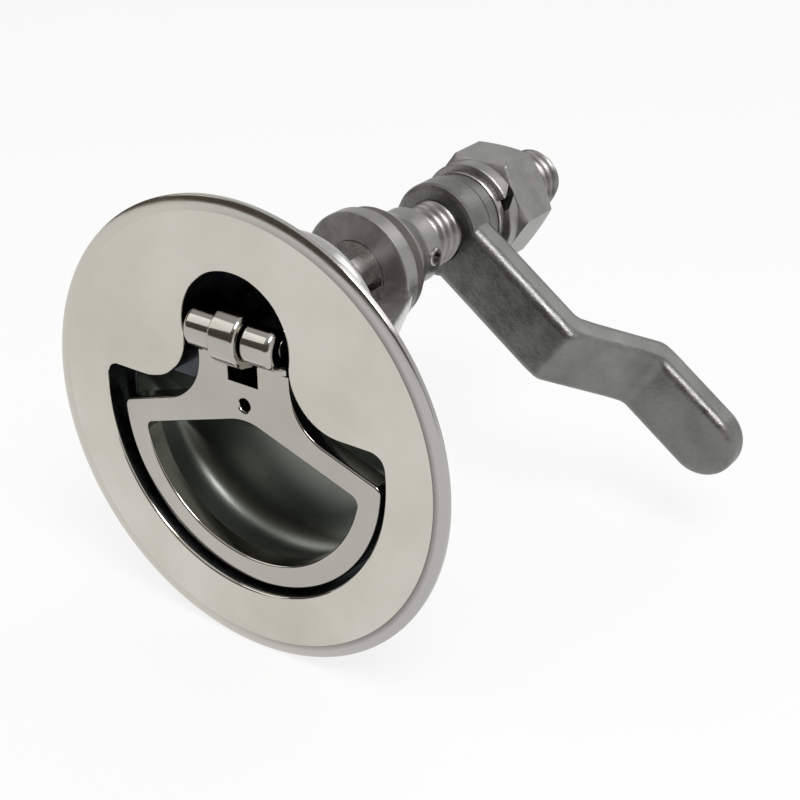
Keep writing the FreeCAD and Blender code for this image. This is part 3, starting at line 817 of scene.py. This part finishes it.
def rim_painted_reflection():
    """The buffed round of the plate's edge. Its right side is painted darker and has a painted dark line where the
    flat face ends; both are painted reflection.
    """
    f = Finish("buffed rim with painted reflection", (0.46, 0.455, 0.44), 1.0, 0.12)
    flat = f.vector("MULTIPLY", f.coords, (1, 0, 1)).outputs["Vector"]
    radius = f.vector("LENGTH", flat).outputs["Value"]
    parts = f.nodes.new("ShaderNodeSeparateXYZ")
    f.links.new(f.coords, parts.inputs[0])
    # Mask for the right side of the rim, which is darkened as painted reflection
    right = f.ramp(parts.outputs["X"], -0.01, 0.028, 0, 1)
    # Painted dark line where the flat face ends, on the right only: painted reflection
    line = f.times(f.ramp(radius, 0.0358, 0.0368, 0.85, 0), right)
    colour = f.mix(line, (0.54, 0.515, 0.46), (0.13, 0.12, 0.11))
    f.links.new(f.mix(right, (0.54, 0.515, 0.46), (0.43, 0.425, 0.41)), colour.node.inputs["A"])
    f.use("Base Color", colour)
    f.use("Roughness", f.ramp(f.noise(300, 4, 0.6), 0.3, 0.7, 0.1, 0.18))
    f.use("Normal", f.bump(f.noise(90, 2), 0.3, 0.0003))
    return f.mat


def bowl_painted_shade():
    # Dark greenish grey inside the finger bowl: painted shade, with a painted reflection tint
    f = Finish("formed bowl with painted shade", (0.17, 0.185, 0.16), 1.0, 0.3)
    f.use("Base Color", f.mix(f.ramp(f.noise(45, 1), 0.3, 0.7, 0, 1), (0.185, 0.203, 0.178), (0.245, 0.264, 0.233)))
    f.use("Roughness", f.ramp(f.noise(90, 2), 0.3, 0.7, 0.3, 0.38))
    f.use("Normal", f.bump(f.noise(60, 1), 0.2, 0.0003))
    return f.mat


def recess_painted_shade():
    # Near-black steel colour on the recess walls is painted shade; the roughness is the unpolished finish
    f = Finish("unpolished recess with painted shade", (0.05, 0.055, 0.062), 1.0, 0.3)
    f.use("Base Color", f.mix(f.ramp(f.noise(130, 4), 0.3, 0.7, 0, 1), (0.035, 0.04, 0.047), (0.085, 0.09, 0.098)))
    f.use("Roughness", f.ramp(f.noise(500, 5, 0.6), 0.3, 0.7, 0.22, 0.38))
    f.use("Normal", f.bump(f.noise(900, 4, 0.6), 0.25, 0.0001))
    return f.mat


def cast_steel(name="cast steel", low=(0.25, 0.247, 0.24), high=(0.36, 0.355, 0.345), rough=(0.3, 0.48), grain=0.5):
    f = Finish(name, high, 1.0, 0.4)
    f.use("Base Color", f.mix(f.ramp(f.noise(210, 5, 0.65), 0.3, 0.7, 0, 1), low, high))
    f.use("Roughness", f.ramp(f.noise(420, 4, 0.6), 0.3, 0.7, *rough))
    coarse = f.bump(f.noise(300, 3, 0.5), grain, 0.00022)
    f.use("Normal", f.bump(f.noise(1700, 4, 0.6), grain, 0.00008, coarse))
    return f.mat


def machined_steel(name="machined steel", low=(0.38, 0.37, 0.35), high=(0.5, 0.49, 0.47), rough=(0.2, 0.32)):
    f = Finish(name, high, 1.0, 0.24)
    f.use("Base Color", f.mix(f.ramp(f.noise(260, 4), 0.3, 0.7, 0, 1), low, high))
    f.use("Roughness", f.ramp(f.noise(700, 4, 0.6), 0.3, 0.7, *rough))
    f.use("Normal", f.bump(f.noise(500, 3, 0.5, (1, 6, 1)), 0.25, 0.00005))
    return f.mat


def nylon():
    f = Finish("dark nylon", (0.06, 0.052, 0.045), 0.0, 0.5)
    f.use("Base Color", f.mix(f.ramp(f.noise(300, 4), 0.3, 0.7, 0, 1), (0.045, 0.04, 0.035), (0.085, 0.075, 0.065)))
    f.use("Normal", f.bump(f.noise(1600, 3), 0.2, 0.00005))
    return f.mat


def rubber():
    f = Finish("seal rubber", (0.02, 0.02, 0.02), 0.0, 0.6)
    f.use("Roughness", f.ramp(f.noise(900, 3), 0.3, 0.7, 0.5, 0.7))
    f.use("Normal", f.bump(f.noise(2000, 3), 0.2, 0.00004))
    return f.mat


def dress(obj, body, slot, node, *materials):
    """Gives a piece its finishes and its body, and hides the imported node that it stands for."""
    obj.data.materials.clear()
    for m in materials:
        obj.data.materials.append(m)
    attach(obj, body)
    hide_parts(node)


def repaint(node, material):
    """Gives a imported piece, which is shown as it is, another finish."""
    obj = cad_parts[node]
    for s in obj.material_slots:
        s.material = material


POLISHED = polished_steel()
# Recess finish: painted shade
RECESS_PAINTED_SHADE = recess_painted_shade()
CAST = cast_steel()
ARM = cast_steel("arm steel", (0.15, 0.149, 0.142), (0.245, 0.243, 0.235), (0.3, 0.46), 0.6)
MACHINED = machined_steel()
ROLLED = machined_steel("rolled thread", (0.24, 0.235, 0.225), (0.34, 0.335, 0.32), (0.3, 0.42))
# Brighter, smoother steel on the front of the neck and dome: a buffed finish, and partly a painted highlight
NECK_BUFF_AND_HIGHLIGHT = cast_steel("buffed neck with painted highlight", (0.5, 0.495, 0.48), (0.62, 0.615, 0.6), (0.16, 0.28), 0.25)
# Rim finish with painted reflection: darker right side and a painted dark line
RIM_PAINTED_REFLECTION = rim_painted_reflection()
# Bowl finish: painted shade with a painted reflection tint
BOWL_PAINTED_SHADE = bowl_painted_shade()
GRIP = polished_steel("polished grip", (0.4, 0.385, 0.347), (0.465, 0.448, 0.406))
NYLON = nylon()
RUBBER = rubber()

HOUSING_FINISHES = [POLISHED, RECESS_PAINTED_SHADE, CAST, NECK_BUFF_AND_HIGHLIGHT, RIM_PAINTED_REFLECTION, BOWL_PAINTED_SHADE]


def paint_housing(mesh):
    """Each face gets its finish from its place: plate, recess, bowl, neck, rim or rough rear; the recess and bowl
    finishes are painted shade, the rim's right side is painted reflection, and the neck's brightness is partly
    painted highlight.
    """
    polished, recess, cast, neck, rim, bowl = range(len(HOUSING_FINISHES))
    for face in mesh.polygons:
        c = face.center * 1000
        n = face.normal
        r = math.hypot(c.x, c.z)
        zone = polished
        if c.y > 0.0 and (r > 27.6 or c.y > POCKET_Y + 0.1 and c.z > 4.5) or c.y > BOWL_Y + 0.2:
            zone = cast
        elif c.y > PLATE_FRONT + 0.5 and r < 27.5:
            # Inward faces of the recess and bowl get the dark painted shade finishes
            in_bowl = c.y > RECESS_Y + 0.2 and c.z < 4.5
            middle = -9 if in_bowl else PIN_Z if c.z > 12 else 0
            inside = n.y < -0.3 or n.x * c.x + n.z * (c.z - middle) < 0
            zone = (bowl if in_bowl else recess) if inside else cast
        # Front of the neck and dome gets the brighter finish, partly a painted highlight
        if zone == cast and c.z > 2.5 and 0.1 < c.y < 22 and math.hypot(c.x, c.z - PIN_Z) < 23:
            zone = neck
        if n.y > 0.9 and abs(c.y) < 0.05:
            zone = cast
        # The rim's finish carries painted reflection on its right side
        if r > PLATE_FLAT_R and c.y < 0.2:
            zone = rim
        face.material_index = zone


housing = make_housing()
dress(housing, "body", "polished_steel", "housing", *HOUSING_FINISHES)
paint_housing(housing.data)

handle = make_handle()
dress(handle, "handle", "polished_steel", "handle", GRIP)

spindle = make_spindle()
dress(spindle, "spindle", "cast_steel", "spindle", MACHINED, GRIP)
for face in spindle.data.polygons:
    face.material_index = int(face.center.y < 0.006)
thread = make_thread(ROLLED)
dress(thread, "spindle", "cast_steel", "spindle", ROLLED)

collar = make_collar()
dress(collar, "spindle", "cast_steel", "taper_collar", CAST)
collar_pin = make_collar_pin()
dress(collar_pin, "spindle", "cast_steel", "collar_pin", MACHINED)

arm = make_arm()
dress(arm, "cam", "cast_steel", "cam_arm", ARM)
nut = make_nut()
dress(nut, "cam", "cast_steel", "lock_nut", CAST)
flat_washer, lock_washer, thrust = make_washers()
dress(flat_washer, "cam", "cast_steel", "flat_washer", MACHINED)
dress(lock_washer, "cam", "cast_steel", "lock_washer", CAST)
dress(thrust, "spindle", "nylon", "thrust_washer", NYLON)
repaint("handle_pin", MACHINED)
repaint("shaft_seal", RUBBER)


def make_floor():
    """White floor that keeps the object's shadow and looks white to the camera and in reflections."""
    low = cad_box[0][2] - 0.0002
    s = 4.0
    mesh = bpy.data.meshes.new("floor")
    mesh.from_pydata([(-s, -s, low), (s, -s, low), (s, s, low), (-s, s, low)], [], [(0, 1, 2, 3)])
    floor = bpy.data.objects.new("floor", mesh)
    bpy.context.scene.collection.objects.link(floor)
    mat = bpy.data.materials.new("pale floor")
    mat.use_nodes = True
    nodes, links = mat.node_tree.nodes, mat.node_tree.links
    shader = nodes["Principled BSDF"]
    shader.inputs["Base Color"].default_value = (0.86, 0.86, 0.85, 1)
    shader.inputs["Roughness"].default_value = 0.9
    glow = nodes.new("ShaderNodeEmission")
    glow.inputs["Strength"].default_value = 1.0
    path = nodes.new("ShaderNodeLightPath")

    def math_node(operation, a, b):
        n = nodes.new("ShaderNodeMath")
        n.operation = operation
        links.new(a, n.inputs[0])
        if isinstance(b, float):
            n.inputs[1].default_value = b
        else:
            links.new(b, n.inputs[1])
        return n.outputs[0]

    seen = math_node("MAXIMUM", path.outputs["Is Glossy Ray"], path.outputs["Is Transmission Ray"])
    seen = math_node("MAXIMUM", seen, path.outputs["Is Camera Ray"])
    both = nodes.new("ShaderNodeMixShader")
    links.new(math_node("MULTIPLY", seen, 0.82), both.inputs[0])
    links.new(shader.outputs[0], both.inputs[1])
    links.new(glow.outputs[0], both.inputs[2])
    links.new(both.outputs[0], nodes["Material Output"].inputs["Surface"])
    mesh.materials.append(mat)


def make_world():
    """Pale tent behind and to the right, with a dark side at the front left; the camera sees a white backdrop."""
    world = bpy.data.worlds.new("studio")
    bpy.context.scene.world = world
    world.use_nodes = True
    nodes, links = world.node_tree.nodes, world.node_tree.links
    back = nodes["Background"]
    direction = nodes.new("ShaderNodeTexCoord").outputs["Generated"]
    sep = nodes.new("ShaderNodeSeparateXYZ")
    links.new(direction, sep.inputs[0])

    def band(stops):
        ramp = nodes.new("ShaderNodeValToRGB")
        elements = ramp.color_ramp.elements
        elements[0].position, elements[0].color = stops[0][0], (*stops[0][1], 1)
        elements[1].position, elements[1].color = stops[-1][0], (*stops[-1][1], 1)
        for height, colour in stops[1:-1]:
            elements.new(height).color = (*colour, 1)
        links.new(sep.outputs["Z"], ramp.inputs[0])
        return ramp.outputs[0]

    grey, light = (0.6, 0.6, 0.6), (0.75, 0.75, 0.75)
    dark = band([(0.0, (0.30, 0.26, 0.22)), (0.05, (0.10, 0.08, 0.065)), (0.55, (0.13, 0.12, 0.11)),
                 (0.8, grey), (1.0, light)])
    pale = band([(0.0, (0.8, 0.8, 0.8)), (0.45, light), (0.8, grey), (1.0, light)])
    side = nodes.new("ShaderNodeVectorMath")
    side.operation = "DOT_PRODUCT"
    side.inputs[1].default_value = (0.45, 0.89, 0.0)
    links.new(direction, side.inputs[0])
    share = nodes.new("ShaderNodeMapRange")
    share.interpolation_type = "SMOOTHSTEP"
    share.inputs["From Min"].default_value = -0.35
    share.inputs["From Max"].default_value = 0.25
    links.new(side.outputs["Value"], share.inputs["Value"])
    mix = nodes.new("ShaderNodeMix")
    mix.data_type = "RGBA"
    links.new(share.outputs[0], mix.inputs["Factor"])
    links.new(dark, mix.inputs["A"])
    links.new(pale, mix.inputs["B"])
    links.new(mix.outputs["Result"], back.inputs["Color"])
    back.inputs["Strength"].default_value = 1.0
    path = nodes.new("ShaderNodeLightPath")
    white = nodes.new("ShaderNodeBackground")
    white.inputs["Color"].default_value = (0.96, 0.96, 0.96, 1)
    backdrop = nodes.new("ShaderNodeMixShader")
    links.new(path.outputs["Is Camera Ray"], backdrop.inputs[0])
    links.new(back.outputs[0], backdrop.inputs[1])
    links.new(white.outputs[0], backdrop.inputs[2])
    links.new(backdrop.outputs[0], nodes["World Output"].inputs["Surface"])


def lamp(name, where, target, size, power):
    data = bpy.data.lights.new(name, "AREA")
    data.shape = "DISK"
    data.size = size
    data.energy = power
    obj = bpy.data.objects.new(name, data)
    bpy.context.scene.collection.objects.link(obj)
    obj.location = where
    obj.rotation_euler = (Vector(target) - Vector(where)).to_track_quat("-Z", "Y").to_euler()


def make_camera():
    """Camera fitted to the photograph."""
    data = bpy.data.cameras.new("camera")
    data.lens = 72.61
    data.sensor_width = 36.0
    data.clip_start = 0.01
    cam = bpy.data.objects.new("camera", data)
    bpy.context.scene.collection.objects.link(cam)
    right = Vector((0.81521, 0.57916, -0.00260))
    up = Vector((-0.26507, 0.37709, 0.88743))
    back = Vector((0.51494, -0.72276, 0.46093))
    turn = Matrix((right, up, back)).transposed().to_4x4()
    cam.matrix_world = Matrix.Translation((0.144753, -0.162447, 0.117949)) @ turn
    bpy.context.scene.camera = cam


make_floor()
make_world()
lamp("key", (0.35, -0.25, 0.6), (0, 0.02, 0), 0.35, 3.2)
lamp("fill", (-0.6, -0.35, 0.45), (0, 0.02, 0), 0.5, 0.8)
lamp("back", (0.25, 0.6, 0.5), (0, 0.03, 0), 0.4, 0.5)
make_camera()
bpy.context.scene.view_settings.view_transform = "Standard"
